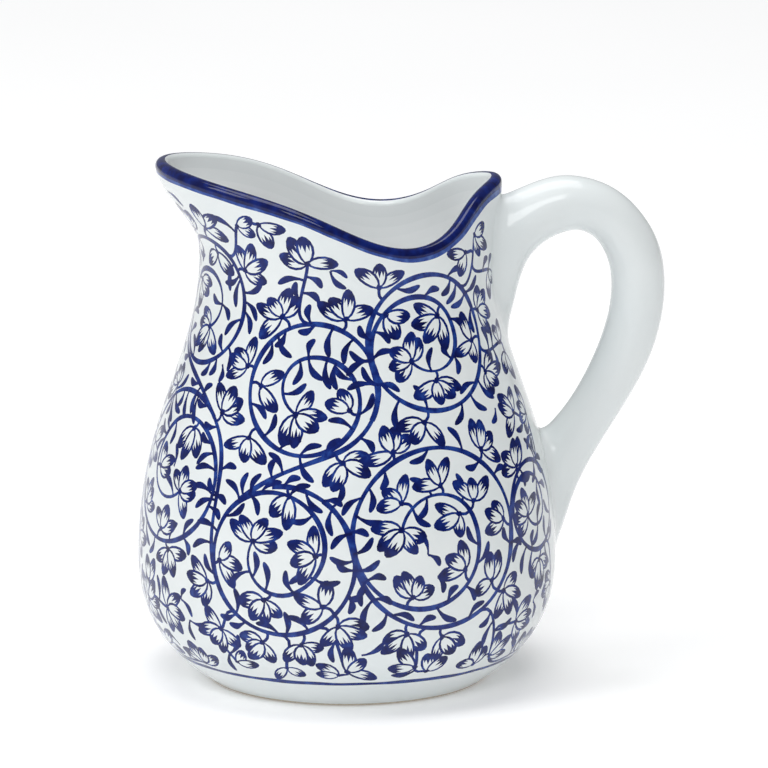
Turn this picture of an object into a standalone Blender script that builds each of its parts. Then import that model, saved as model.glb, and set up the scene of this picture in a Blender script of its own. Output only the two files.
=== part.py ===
"""Porcelain cream jug: a pear-shaped body with a pinched spout, a round loop handle and the two
layers of slip that lute the handle to the body.

The foot stands on z = 0, the spout points to -X and the handle to +X. The origin is the middle of
the base of the jug's own box, so the body's axis of turning lies at x = AXIS_X.
"""
import bpy
import bmesh
from math import atan2, cos, pi, radians, sin, tan
from mathutils import Vector
import numpy as np

MM = 0.001

# Driving dimensions, in millimetres. Radii are measured from the body's axis.
BELLY_RADIUS = 43.1        # widest point of the pear
BELLY_HEIGHT = 25.0
NECK_RADIUS = 30.2
NECK_HEIGHT = 88.0
RING_OUTER = 28.8          # flat ring that the jug stands on
RING_INNER = 26.2
EDGE = 0.4                 # worn edge of that ring
RECESS_DEPTH = 2.0         # hollow of the base inside the ring
FLOOR_HEIGHT = 5.6         # inside bottom of the jug
FLOOR_CURVE = 8.0          # width of the curve between the inside wall and the floor
WALL = 3.3                 # wall of the belly
LIP = 2.9                  # wall at the rim
SPOUT_FLARE = 9.0          # how far the spout stands out from the neck
HANDLE_REACH = 66.25       # outer side of the handle
SLIP_NEAR = 0.3            # the slip starts this far off the wall ...
SLIP_FAR = 1.1             # ... and ends here
HANDLE_NEAR = 1.4          # the handle's ends stop this far off the wall

# The rim's height round the jug, as a level and the sizes of its first five waves
RIM_LEVEL = 101.1
RIM_WAVES = (3.7, 4.9, -2.0, 0.0, 0.4)

# Where the spout's flare and the pinch beside the handle begin and end
FLARE_START, FLARE_END = 89.5, 107.5
PINCH_START, PINCH_END = 86.0, 102.0
SPOUT_WIDTH = 0.38         # tangent of half the angle at which the flare is half gone
TIP = 1.8                  # the rim's small point at the handle
PINCH = 1.9                # the rim's flats on both sides of that point
TIP_SHARPNESS = 30         # the higher, the narrower the point
PINCH_SCALE = 0.148        # makes the deepest place of the flats equal to PINCH

AXIS_X = (BELLY_RADIUS - HANDLE_REACH) / 2

# Detail of the meshes
STEPS_ROUND = 64
BELLY_ROWS = 6             # from the ring up to the widest point
SHOULDER_ROWS = 9          # from there up to the neck
COLLAR_ROWS = 6            # from the neck up to the lip
LIP_ROWS = 4
FLOOR_TURNS = (30, 55, 75, 90)   # degrees round the curve between the inside wall and the floor
INSIDE_BELLY_START = 3     # the first belly row, from below, that the inside wall also has
HANDLE_SIDES = 20
HANDLE_ROWS = 44
SMOOTH_UP_TO = radians(40) # sharper edges than this are kept crisp

# The blocks that trim the handle to the wall and split its two ends
CUT_LOW, CUT_STEP, CUT_ROWS = 12.0, 4.0, 24
CUT_TOP = 103.0            # above this the cutting block goes straight up
UPPER_SPAN, LOWER_SPAN = (70.0, 140.0), (0.0, 60.0)
BLOCK_LENGTH, BLOCK_WIDTH = 200.0, 60.0

# The handle seen from the side: (outer x, outer z), (inner x, inner z), half its width.
# The first and last stations lie inside the body's wall, which trims them.
HANDLE_STATIONS = (
    ((26.5, 96.6), (31.0, 65.0), 7.6),
    ((32.4, 99.1), (34.0, 74.0), 6.6),
    ((37.4, 101.2), (36.0, 84.6), 5.8),
    ((42.0, 102.7), (41.0, 89.8), 5.5),
    ((46.6, 103.1), (46.6, 91.9), 5.5),
    ((53.2, 101.5), (49.6, 91.2), 5.5),
    ((59.0, 97.6), (52.0, 89.6), 5.5),
    ((63.9, 91.0), (54.0, 86.2), 5.5),
    ((66.0, 84.0), (55.1, 82.0), 5.5),
    ((66.0, 75.0), (55.0, 76.2), 5.5),
    ((63.6, 65.6), (53.4, 69.6), 5.5),
    ((59.4, 57.4), (50.3, 62.2), 5.5),
    ((54.2, 49.2), (46.0, 54.8), 5.5),
    ((50.0, 42.4), (41.4, 49.8), 5.7),
    ((47.0, 36.0), (38.2, 46.6), 6.3),
    ((45.2, 30.0), (35.8, 41.0), 7.0),
    ((42.8, 24.0), (34.6, 38.0), 7.6),
)

COLOURS = {                # base colour and roughness of each piece
    "jug_body": ((0.78, 0.82, 0.84), 0.08),
    "handle": ((0.76, 0.80, 0.81), 0.08),
    "upper_handle_slip": ((0.72, 0.76, 0.77), 0.12),
    "lower_handle_slip": ((0.72, 0.76, 0.77), 0.12),
}


def clear_scene():
    for obj in list(bpy.data.objects):
        bpy.data.objects.remove(obj, do_unlink=True)


def smoothstep(start, end, value):
    t = min(max((value - start) / (end - start), 0.0), 1.0)
    return t * t * (3.0 - 2.0 * t)


def bezier(start, lead_out, lead_in, end, count):
    """Points on a cubic curve, from start up to but without its end."""
    t = np.linspace(0.0, 1.0, count, endpoint=False)[:, None]
    corners = [np.array(p, dtype=float) for p in (start, lead_out, lead_in, end)]
    return ((1 - t) ** 3 * corners[0] + 3 * t * (1 - t) ** 2 * corners[1]
            + 3 * t * t * (1 - t) * corners[2] + t ** 3 * corners[3])


def pear_outline(count=80):
    """The outer outline, (radius, height) from the foot ring to the neck, closely spaced."""
    belly = bezier((RING_OUTER + EDGE, EDGE), (RING_OUTER + 9.5, 6.5),
                   (BELLY_RADIUS, BELLY_HEIGHT - 11.5), (BELLY_RADIUS, BELLY_HEIGHT), count)
    shoulder = bezier((BELLY_RADIUS, BELLY_HEIGHT), (BELLY_RADIUS, BELLY_HEIGHT + 30.0),
                      (NECK_RADIUS, NECK_HEIGHT - 22.0), (NECK_RADIUS, NECK_HEIGHT), count)
    return np.vstack([belly, shoulder, [[NECK_RADIUS, NECK_HEIGHT]]])


OUTLINE = pear_outline()


def rim_height(angle):
    """Height of the rim's crest; the angle is 0 at the handle and pi at the spout."""
    from_spout = pi - angle
    return RIM_LEVEL + sum(size * cos(k * from_spout) for k, size in enumerate(RIM_WAVES, 1))


def outer_radius(angle, height):
    radius = float(np.interp(height, OUTLINE[:, 1], OUTLINE[:, 0]))
    half_turn = abs(atan2(sin(pi - angle), cos(pi - angle))) / 2
    spread = 1.0 / (1.0 + (tan(min(half_turn, 1.55)) / SPOUT_WIDTH) ** 2)
    radius += SPOUT_FLARE * smoothstep(FLARE_START, FLARE_END, height) * spread
    towards_handle = max(cos(angle), 0.0)
    point = TIP * towards_handle ** TIP_SHARPNESS
    flats = PINCH * towards_handle ** 4 * sin(angle) ** 2 / PINCH_SCALE
    return radius + (point - flats) * smoothstep(PINCH_START, PINCH_END, height)


def wall_point(angle, height, inwards=0.0):
    """A point on the outer wall, or that far inside it measured square to the wall."""
    def on_wall(a, z):
        r = outer_radius(a, z)
        return Vector((r * cos(a), r * sin(a), z))
    step = 0.05
    point = on_wall(angle, height)
    if not inwards:
        return point
    around = on_wall(angle + step / 10, height) - on_wall(angle - step / 10, height)
    upward = on_wall(angle, height + step) - on_wall(angle, height - step)
    return point - around.cross(upward).normalized() * inwards


def body_section(angle):
    """One section of the body, from the middle of the base round the lip to the inside floor."""
    def ring(radius, height):
        return Vector((radius * cos(angle), radius * sin(angle), height))

    def spaced(low, high, count):
        return [low + (high - low) * k / count for k in range(1, count + 1)]

    top = rim_height(angle) - LIP / 2
    belly = [EDGE + (z - EDGE) ** 1.5 / (BELLY_HEIGHT - EDGE) ** 0.5
             for z in spaced(EDGE, BELLY_HEIGHT, BELLY_ROWS)]
    shoulder = spaced(BELLY_HEIGHT, NECK_HEIGHT, SHOULDER_ROWS)
    collar = spaced(NECK_HEIGHT, top, COLLAR_ROWS)
    section = [ring(RING_INNER * 0.5, RECESS_DEPTH), ring(RING_INNER - 1.6, RECESS_DEPTH),
               ring(RING_INNER - 0.5, RECESS_DEPTH * 0.6), ring(RING_INNER, 0.0),
               ring(RING_OUTER, 0.0), ring(RING_OUTER + EDGE, EDGE)]
    section += [wall_point(angle, z) for z in belly + shoulder + collar]

    outside = section[-1]
    inside = wall_point(angle, top, LIP)
    centre = (outside + inside) / 2
    across = outside - centre
    upward = Vector((-sin(angle), cos(angle), 0.0)).cross(across)
    upward *= 1 if upward.z > 0 else -1
    for k in range(1, LIP_ROWS):
        turn = pi * k / LIP_ROWS
        section.append(centre + across * cos(turn) + upward * sin(turn))

    section.append(inside)
    for z in reversed(collar[:-1]):
        section.append(wall_point(angle, z, LIP + (WALL - LIP) * smoothstep(0, 15, top - z)))
    section += [wall_point(angle, z, WALL) for z in reversed(belly[INSIDE_BELLY_START:] + shoulder)]
    corner = section[-1]
    reach = (corner.x ** 2 + corner.y ** 2) ** 0.5
    for turn in FLOOR_TURNS:
        section.append(ring(reach - FLOOR_CURVE * (1 - cos(radians(turn))),
                            corner.z - (corner.z - FLOOR_HEIGHT) * sin(radians(turn))))
    section.append(ring(reach * 0.4, FLOOR_HEIGHT))
    return section


def add_piece(name, bm):
    """Turn millimetre geometry round the body's axis into a named, coloured object in metres."""
    for vert in bm.verts:
        vert.co = Vector((vert.co.x + AXIS_X, vert.co.y, vert.co.z)) * MM
    mesh = bpy.data.meshes.new(name)
    bm.to_mesh(mesh)
    bm.free()
    mesh.shade_smooth()
    mesh.set_sharp_from_angle(angle=SMOOTH_UP_TO)
    obj = bpy.data.objects.new(name, mesh)
    bpy.context.scene.collection.objects.link(obj)
    return obj


def paint(obj):
    colour, roughness = COLOURS[obj.name]
    material = bpy.data.materials.new(obj.name + "_glaze")
    material.use_nodes = True
    shader = material.node_tree.nodes["Principled BSDF"]
    shader.inputs["Base Color"].default_value = (*colour, 1.0)
    shader.inputs["Roughness"].default_value = roughness
    shader.inputs["Metallic"].default_value = 0.0
    shader.inputs["Coat Weight"].default_value = 0.5
    obj.data.materials.append(material)


def loft(bm, loops, closed_ends):
    """Quads between loops of vertices; the ends are capped with one face or with a fan."""
    count = len(loops[0])
    for low, high in zip(loops, loops[1:]):
        for k in range(count):
            nxt = (k + 1) % count
            bm.faces.new((low[k], low[nxt], high[nxt], high[k]))
    if closed_ends:
        bm.faces.new(list(reversed(loops[0])))
        bm.faces.new(loops[-1])


def make_body():
    bm = bmesh.new()
    sections = [body_section(2 * pi * k / STEPS_ROUND) for k in range(STEPS_ROUND)]
    loops = [[bm.verts.new(section[row]) for section in sections] for row in range(len(sections[0]))]
    loft(bm, loops, closed_ends=False)
    for loop, height, upward in ((loops[0], RECESS_DEPTH, False), (loops[-1], FLOOR_HEIGHT, True)):
        middle = bm.verts.new((0.0, 0.0, height))
        for k in range(STEPS_ROUND):
            edge = (loop[k], loop[(k + 1) % STEPS_ROUND])
            bm.faces.new((*edge, middle) if upward else (edge[1], edge[0], middle))
    bmesh.ops.recalc_face_normals(bm, faces=bm.faces)
    return add_piece("jug_body", bm)


def catmull_rom(values, position):
    """A smooth value between hand-chosen ones; position counts along them."""
    last = len(values) - 1
    k = min(int(position), last - 1)
    t = position - k
    p0, p1, p2, p3 = (np.array(values[min(max(j, 0), last)], dtype=float) for j in range(k - 1, k + 3))
    return 0.5 * (2 * p1 + (p2 - p0) * t + (2 * p0 - 5 * p1 + 4 * p2 - p3) * t * t
                  + (3 * p1 - p0 - 3 * p2 + p3) * t ** 3)


def handle_form():
    """The whole handle with its flared ends, before the body's wall trims it."""
    flat = [(*outer, *inner, width) for outer, inner, width in HANDLE_STATIONS]
    bm = bmesh.new()
    loops = []
    for row in range(HANDLE_ROWS + 1):
        xo, zo, xi, zi, width = catmull_rom(flat, row * (len(flat) - 1) / HANDLE_ROWS)
        centre = Vector(((xo + xi) / 2, 0.0, (zo + zi) / 2))
        half = Vector(((xo - xi) / 2, 0.0, (zo - zi) / 2))
        loops.append([bm.verts.new(centre + half * cos(2 * pi * k / HANDLE_SIDES)
                                   + Vector((0.0, width * sin(2 * pi * k / HANDLE_SIDES), 0.0)))
                      for k in range(HANDLE_SIDES)])
    loft(bm, loops, closed_ends=True)
    bmesh.ops.recalc_face_normals(bm, faces=bm.faces)
    return add_piece("handle_form", bm)


def wall_form(name, offset):
    """A closed block whose side is the outer wall moved outwards, used only to cut."""
    bm = bmesh.new()
    heights = [CUT_LOW + CUT_STEP * k for k in range(CUT_ROWS)]
    loops = []
    for z in heights:
        loop = []
        for k in range(STEPS_ROUND):
            angle = 2 * pi * k / STEPS_ROUND
            radius = outer_radius(angle, min(z, CUT_TOP)) + offset
            loop.append(bm.verts.new((radius * cos(angle), radius * sin(angle), z)))
        loops.append(loop)
    loft(bm, loops, closed_ends=True)
    bmesh.ops.recalc_face_normals(bm, faces=bm.faces)
    form = add_piece(name, bm)
    form.hide_render = True
    form.display_type = "WIRE"
    return form


def half_space(name, above):
    """A large block above or below the middle of the handle's loop, used only to cut."""
    low, high = UPPER_SPAN if above else LOWER_SPAN
    bm = bmesh.new()
    bmesh.ops.create_cube(bm, size=1.0)
    for vert in bm.verts:
        vert.co = Vector((vert.co.x * BLOCK_LENGTH, vert.co.y * BLOCK_WIDTH, low if vert.co.z < 0 else high))
    block = add_piece(name, bm)
    block.hide_render = True
    block.display_type = "WIRE"
    return block


def cut(obj, tool, operation):
    boolean = obj.modifiers.new(operation.lower() + "_" + tool.name, "BOOLEAN")
    boolean.operation = operation
    boolean.solver = "EXACT"
    boolean.object = tool


def main():
    clear_scene()
    body = make_body()
    form = handle_form()
    near = wall_form("slip_near_form", SLIP_NEAR)
    far = wall_form("slip_far_form", SLIP_FAR)
    clear = wall_form("handle_clear_form", HANDLE_NEAR)
    upper = half_space("upper_block", above=True)
    lower = half_space("lower_block", above=False)

    pieces = [body]
    for name, steps in (
            ("handle", ((clear, "DIFFERENCE"),)),
            ("upper_handle_slip", ((upper, "INTERSECT"), (far, "INTERSECT"), (near, "DIFFERENCE"))),
            ("lower_handle_slip", ((lower, "INTERSECT"), (far, "INTERSECT"), (near, "DIFFERENCE")))):
        piece = bpy.data.objects.new(name, form.data.copy())
        bpy.context.scene.collection.objects.link(piece)
        for tool, operation in steps:
            cut(piece, tool, operation)
        pieces.append(piece)
    bpy.data.objects.remove(form, do_unlink=True)
    for piece in pieces:
        paint(piece)


main()
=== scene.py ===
from math import atan2, ceil, cos, pi, radians, sin

import bpy
import numpy as np
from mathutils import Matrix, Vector
from mathutils.geometry import delaunay_2d_cdt


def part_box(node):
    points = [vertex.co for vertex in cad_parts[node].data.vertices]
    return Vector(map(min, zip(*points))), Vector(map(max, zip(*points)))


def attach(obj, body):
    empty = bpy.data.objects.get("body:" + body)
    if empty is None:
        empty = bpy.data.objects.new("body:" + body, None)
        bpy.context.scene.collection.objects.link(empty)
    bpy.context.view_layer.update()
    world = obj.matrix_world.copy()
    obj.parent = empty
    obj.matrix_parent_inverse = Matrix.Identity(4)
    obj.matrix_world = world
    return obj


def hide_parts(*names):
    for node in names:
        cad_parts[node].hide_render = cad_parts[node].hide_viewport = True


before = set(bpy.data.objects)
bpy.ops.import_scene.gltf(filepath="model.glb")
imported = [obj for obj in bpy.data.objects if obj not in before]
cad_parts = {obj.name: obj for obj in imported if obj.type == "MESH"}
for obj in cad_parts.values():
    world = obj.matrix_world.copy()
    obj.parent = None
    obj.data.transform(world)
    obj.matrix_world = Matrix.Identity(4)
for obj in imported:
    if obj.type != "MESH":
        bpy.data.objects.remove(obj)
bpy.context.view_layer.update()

MM = 0.001

BODY_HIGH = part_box("jug_body")[1]
BELLY_RADIUS = BODY_HIGH.y / MM
AXIS_X = BODY_HIGH.x / MM - BELLY_RADIUS
BELLY_HEIGHT = 25.0
NECK_RADIUS, NECK_HEIGHT = 30.2, 88.0
CLEAR_ABOVE = 140.0                     # a height above the whole jug
RING_OUTER, RING_INNER = 28.8, 26.2     # the foot ring, and how far its edge is rounded
EDGE = 0.4
RECESS_DEPTH = 2.0
FLOOR_HEIGHT, FLOOR_CURVE = 5.6, 8.0
FLOOR_CURVE_TOP = 13.8
WALL, LIP = 3.3, 2.9
RIM_LEVEL = 101.1
RIM_WAVES = (3.7, 4.9, -2.0, 0.0, 0.4)  # once, twice ... five times round, highest at the spout
SPOUT_FLARE, SPOUT_WIDTH = 9.0, 0.38
FLARE_START, FLARE_END = 89.5, 107.5
TIP, TIP_SHARPNESS = 1.8, 30            # the rim's small point at the handle ...
PINCH, PINCH_SCALE = 1.9, 0.148         # ... and the flats beside it
PINCH_START, PINCH_END = 86.0, 102.0

COLUMNS = 216              # steps round the jug
PAINT_LOW = 5.0            # the painted wall starts at this height, below the foot line
FOOT_LINE = 6.4            # height of the line above the foot
FACING = radians(262)      # the angle round the jug that the flat artwork is centred on
UNPAINTED = radians(19)    # bare strip on both sides of the handle
ROUND = np.linspace(0, 2 * pi, COLUMNS + 1)


# ---- the body's shape

def smoothstep(start, end, value):
    t = np.clip((value - start) / (end - start), 0.0, 1.0)
    return t * t * (3.0 - 2.0 * t)


def bezier(points, t):
    """A point, or a row of points, on the cubic curve with these four corners."""
    t = np.asarray(t, float)[..., None]
    a, b, c, d = (np.asarray(p, float) for p in points)
    return (1 - t) ** 3 * a + 3 * t * (1 - t) ** 2 * b + 3 * t * t * (1 - t) * c + t ** 3 * d


def pear_outline(count=500):
    t = np.linspace(0, 1, count)
    belly = bezier(((RING_OUTER + EDGE, EDGE), (RING_OUTER + 9.5, 6.5),
                    (BELLY_RADIUS, BELLY_HEIGHT - 11.5), (BELLY_RADIUS, BELLY_HEIGHT)), t)
    shoulder = bezier(((BELLY_RADIUS, BELLY_HEIGHT), (BELLY_RADIUS, BELLY_HEIGHT + 30),
                       (NECK_RADIUS, NECK_HEIGHT - 22), (NECK_RADIUS, NECK_HEIGHT)), t[1:])
    return np.vstack([belly, shoulder, [[NECK_RADIUS, CLEAR_ABOVE]]])


OUTLINE = pear_outline()


def rim_height(angle):
    return RIM_LEVEL + sum(size * np.cos(k * (pi - angle)) for k, size in enumerate(RIM_WAVES, 1))


def outer_radius(angle, height):
    radius = np.interp(height, OUTLINE[:, 1], OUTLINE[:, 0])
    half_turn = np.abs(np.arctan2(np.sin(pi - angle), np.cos(pi - angle))) / 2
    spread = 1.0 / (1.0 + (np.tan(np.minimum(half_turn, 1.55)) / SPOUT_WIDTH) ** 2)
    radius = radius + SPOUT_FLARE * smoothstep(FLARE_START, FLARE_END, height) * spread
    towards_handle = np.maximum(np.cos(angle), 0.0)
    point = TIP * towards_handle ** TIP_SHARPNESS
    flats = PINCH * towards_handle ** 4 * np.sin(angle) ** 2 / PINCH_SCALE
    return radius + (point - flats) * smoothstep(PINCH_START, PINCH_END, height)


def on_wall(angle, height):
    angle, height = np.broadcast_arrays(np.asarray(angle, float), np.asarray(height, float))
    radius = outer_radius(angle, height)
    return np.stack([radius * np.cos(angle), radius * np.sin(angle), height], -1)


def unit(vectors):
    return vectors / np.maximum(np.linalg.norm(vectors, axis=-1, keepdims=True), 1e-9)


def wall_normal(angle, height, step=0.25):
    around = on_wall(angle + step / 40, height) - on_wall(angle - step / 40, height)
    upward = on_wall(angle, height + step) - on_wall(angle, height - step)
    return unit(np.cross(around, upward))


def inside_wall(angle, height, depth):
    return on_wall(angle, height) - wall_normal(angle, height) * np.asarray(depth)[..., None]


# ---- the wall unrolled flat
# u runs round the jug and v up it from the foot line, both at the belly's scale, so that shapes keep
# their angles.

def unroll_table():
    heights = np.linspace(0.5, NECK_HEIGHT, 900)
    radii = np.interp(heights, OUTLINE[:, 1], OUTLINE[:, 0])
    lengths = np.hypot(np.diff(heights), np.diff(radii))
    climb = np.concatenate([[0], np.cumsum(lengths * 2 / (radii[1:] + radii[:-1]))]) * BELLY_RADIUS
    heights = np.append(heights, CLEAR_ABOVE)
    climb = np.append(climb, climb[-1] + (CLEAR_ABOVE - NECK_HEIGHT) * BELLY_RADIUS / NECK_RADIUS)
    radii = np.append(radii, NECK_RADIUS)
    return heights, climb - np.interp(FOOT_LINE, heights, climb), radii


TABLE_Z, TABLE_V, TABLE_R = unroll_table()


def flat_v(height):
    return np.interp(height, TABLE_Z, TABLE_V)


def wall_z(v):
    return np.interp(v, TABLE_V, TABLE_Z)


def growth(v):
    """How much larger than life a motif is drawn at v, because the flat sheet is stretched there."""
    return BELLY_RADIUS / np.interp(v, TABLE_V, TABLE_R)


def flat_u(angle):
    return BELLY_RADIUS * (angle - FACING)


def wall_angle(u):
    return u / BELLY_RADIUS + FACING


def band_top(angle):
    """Where the outside of the wall turns over into the lip."""
    return rim_height(angle) - LIP / 2


# ---- node trees for the painting

def add_node(tree, kind, inputs=None, **settings):
    """A new node with these settings, each of its inputs linked to a socket or set to a value."""
    node = tree.nodes.new(kind)
    for name, value in settings.items():
        setattr(node, name, value)
    for name, value in (inputs or {}).items():
        if isinstance(value, bpy.types.NodeSocket):
            tree.links.new(value, node.inputs[name])
        else:
            node.inputs[name].default_value = value
    return node


class Tree:
    """A Geometry Nodes tree with named inputs; it ends in Realize Instances and Set Material."""

    def __init__(self, name, inputs):
        self.group = bpy.data.node_groups.new(name, "GeometryNodeTree")
        face = self.group.interface
        face.new_socket(name="Geometry", in_out="INPUT", socket_type="NodeSocketGeometry")
        for label, kind, value in inputs:
            socket = face.new_socket(name=label, in_out="INPUT", socket_type="NodeSocket" + kind)
            if value is not None:
                socket.default_value = value
        face.new_socket(name="Geometry", in_out="OUTPUT", socket_type="NodeSocketGeometry")
        self.inputs = self.group.nodes.new("NodeGroupInput").outputs
        self.output = self.group.nodes.new("NodeGroupOutput").inputs[0]

    def add(self, kind, inputs=None, **settings):
        return add_node(self.group, kind, inputs, **settings)

    def attribute(self, name):
        node = self.add("GeometryNodeInputNamedAttribute", {"Name": name}, data_type="FLOAT")
        return node.outputs["Attribute"]

    def scaled(self, name, label):
        """The points' own number of this name times the tree's input of this label."""
        factors = {0: self.attribute(name), 1: self.inputs[label]}
        return self.add("ShaderNodeMath", factors, operation="MULTIPLY").outputs[0]

    def finish(self, geometry):
        real = self.add("GeometryNodeRealizeInstances", {"Geometry": geometry}).outputs[0]
        painted = self.add("GeometryNodeSetMaterial", {"Geometry": real, "Material": self.inputs["Material"]})
        self.group.links.new(painted.outputs[0], self.output)
        return self.group


def brush_line_tree():
    """Turns every chain of points into a flat brush stroke as wide as the points say."""
    tree = Tree("brush_line", [("Brush width", "Float", 1.0), ("Material", "Material", None)])
    curve = tree.add("GeometryNodeMeshToCurve", {"Mesh": tree.inputs["Geometry"]}).outputs[0]
    upright = tree.add("GeometryNodeSetCurveNormal", {"Curve": curve}, mode="Z_UP").outputs[0]
    brush = tree.add("GeometryNodeCurvePrimitiveLine", {"Start": (-0.5, 0, 0), "End": (0.5, 0, 0)}).outputs[0]
    stroke = tree.add("GeometryNodeCurveToMesh", {"Curve": upright, "Profile Curve": brush,
                                                  "Scale": tree.scaled("width", "Brush width")})
    return tree.finish(stroke.outputs[0])


def motif_tree():
    """Puts one painted motif on every point, turned and sized as the point says."""
    tree = Tree("painted_motif", [("Motif", "Object", None), ("Size", "Float", 1.0),
                                  ("Material", "Material", None)])
    motif = tree.add("GeometryNodeObjectInfo", {"Object": tree.inputs["Motif"]}).outputs["Geometry"]
    turn = tree.add("ShaderNodeCombineXYZ", {"Z": tree.attribute("turn")}).outputs[0]
    placed = tree.add("GeometryNodeInstanceOnPoints", {
        "Points": tree.inputs["Geometry"], "Instance": motif, "Rotation": turn,
        "Scale": tree.scaled("size", "Size")})
    return tree.finish(placed.outputs[0])


def evaluated(name, mesh, group, **inputs):
    """The plain mesh that the tree makes from this one; the source object is removed again."""
    source = bpy.data.objects.new(name, mesh)
    bpy.context.scene.collection.objects.link(source)
    modifier = source.modifiers.new(group.name, "NODES")
    modifier.node_group = group
    for item in group.interface.items_tree:
        label = item.name.lower().replace(" ", "_")
        if item.in_out == "INPUT" and label in inputs:
            modifier[item.identifier] = inputs[label]
    graph = bpy.context.evaluated_depsgraph_get()
    result = bpy.data.meshes.new_from_object(source.evaluated_get(graph))
    source.modifiers.clear()
    bpy.data.objects.remove(source)
    return result


def store(mesh, domain, values):
    """Keeps named rows of numbers on the mesh's points or faces."""
    for label, numbers in values.items():
        layer = mesh.attributes.new(label, "FLOAT", domain)
        layer.data.foreach_set("value", np.asarray(numbers, np.float32))


def stored(mesh, label):
    data = mesh.attributes[label].data
    numbers = np.zeros(len(data))
    data.foreach_get("value", numbers)
    return numbers


def outlines(mesh):
    """Each face's corners in u and v, and the number of its first corner."""
    places = np.zeros(len(mesh.vertices) * 3)
    mesh.vertices.foreach_get("co", places)
    places = places.reshape(-1, 3)[:, :2]
    return [(places[list(face.vertices)], face.vertices[0]) for face in mesh.polygons]


def point_mesh(name, points, edges=(), **values):
    mesh = bpy.data.meshes.new(name)
    mesh.from_pydata([(x, y, 0.0) for x, y in points], list(edges), [])
    store(mesh, "POINT", values)
    return mesh


# ---- motifs, drawn growing along +X

OUTLINED, RESERVED, TIPPED = 1, 2, 3     # layers of a petal, from the lowest to the highest
PETALS = (                                # length, half width, bend
    (6.4, 1.64, 0.026), (6.1, 1.74, -0.032), (5.6, 1.80, 0.012), (6.7, 1.56, -0.022), (5.2, 1.70, 0.030),
)
TENDRILS = (                              # length, half width of the head, curl
    (4.6, 1.04, 0.125), (4.2, 1.06, -0.145), (5.3, 0.98, 0.095), (3.7, 1.02, -0.110),
)
LINE = 0.55                               # brushed outline of a petal
HAIR = 0.28                               # half width of a tendril where it starts
PETAL_BULGE = 2.29                        # brings a petal's widest place to its half width
DARK_TIP = (0.62, 0.80, 0.94)             # the dark tip's places along the petal's sides ...
BRUSH_MARKS = (                           # ... and its ragged edge: place along, place across
    (0.71, -0.62), (0.47, -0.46), (0.68, -0.24), (0.40, 0.03), (0.67, 0.26), (0.51, 0.50), (0.72, 0.60),
)


def petal_side(t, half_width):
    """Half the petal's width along its length: narrow at the root, pointed at the tip."""
    return half_width * PETAL_BULGE * t ** 0.62 * (1 - t) ** 0.58


def petal_faces(length, half_width, bend):
    def spine(t, y):
        x = length * t
        return (x, y + bend * x * x)

    def leaf(t, line):
        """A closed outline, this far inside the petal's own."""
        half = [max(petal_side(a, half_width) - line, 0.0) for a in t]
        there = [spine(a, y) for a, y in zip(t, half)]
        return there + [spine(a, -y) for a, y in zip(t[-2:0:-1], half[-2:0:-1])]

    t = (1 - np.cos(np.linspace(0, pi, 8))) / 2
    tip = [spine(a, petal_side(a, half_width) * 0.97) for a in DARK_TIP] + [spine(0.99, 0.0)]
    tip += [spine(a, -petal_side(a, half_width) * 0.97) for a in DARK_TIP[::-1]]
    tip += [spine(a, side * half_width) for a, side in BRUSH_MARKS]
    return [(leaf(t, 0.0), OUTLINED), (leaf(0.09 + 0.83 * t, LINE), RESERVED), (tip, TIPPED)]


def tendril_faces(length, head, curl):
    t = 1 - (1 - np.linspace(0, 1, 9)) ** 1.7
    round_end = np.sqrt(1 - (np.maximum(t - 0.76, 0.0) / 0.24) ** 2)
    width = (HAIR + (head - HAIR) * smoothstep(0.2, 0.85, t)) * round_end
    x = length * t
    y = curl * x * x
    up = [(a, b + w) for a, b, w in zip(x, y, width)]
    down = [(a, b - w) for a, b, w in zip(x[-2::-1], y[-2::-1], width[-2::-1])]
    return [(up + down, TIPPED)]


def knot_faces():
    return [([(0.66 * cos(a), 0.54 * sin(a)) for a in np.linspace(0, 2 * pi, 9)[:-1]], TIPPED)]


def motif_object(name, faces):
    points, polygons = [], []
    for outline, _ in faces:
        polygons.append(range(len(points), len(points) + len(outline)))
        points += [(float(x), float(y), 0.0) for x, y in outline]
    mesh = bpy.data.meshes.new(name)
    mesh.from_pydata(points, [], [tuple(p) for p in polygons])
    store(mesh, "FACE", {"layer": [layer for _, layer in faces]})
    obj = bpy.data.objects.new(name, mesh)
    bpy.context.scene.collection.objects.link(obj)
    return obj


# ---- composing the decoration

# Scrolls: place round the jug in degrees from the artwork's middle, v, radius, way round (+1 is
# anticlockwise), the scroll that its stem grows from.
SCROLLS = (
    (-18.0, 29.5, 15.5, -1, None),
    (26.9, 34.0, 19.0, 1, 0),
    (-11.5, 68.5, 17.0, 1, 0),
    (32.5, 80.0, 18.5, -1, 2),
    (66.0, 36.0, 9.5, -1, 1),
    (-62.0, 46.0, 17.0, 1, 0),
    (-66.0, 88.0, 18.0, -1, 5),
    (-105.0, 29.0, 17.0, -1, 5),
    (-112.0, 74.0, 18.5, 1, 7),
    (-150.0, 36.0, 18.5, 1, 7),
    (-160.0, 84.0, 19.5, -1, 9),
    (-194.0, 30.0, 17.0, -1, 9),
    (-206.0, 72.0, 19.0, 1, 11),
    (-230.0, 38.0, 10.0, 1, 11),
)
VINE_WIDTH, STEM_WIDTH, SHOOT_WIDTH = 1.0, 0.66, 0.72
STEM_INK = 0.8
SPACING = 1.3              # between the points of a long stroke
LOWEST_MOTIF = 7.4         # height of the lowest place that may be drawn on
BELOW_BAND = 1.9           # room kept free under the rim band, and how much more of it at the spout
BELOW_SPOUT = 0.9
SHEET_HEIGHT = 134.0
CELL = 0.8                 # the sheet's squares, on which the room left is kept
REACH = 14                 # how many of them round a new stroke are worked out again
PLENTY = 30.0              # the room where nothing is drawn yet
MOST_SHOOTS, LOOSE_TRIES = 400, 2600


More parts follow.
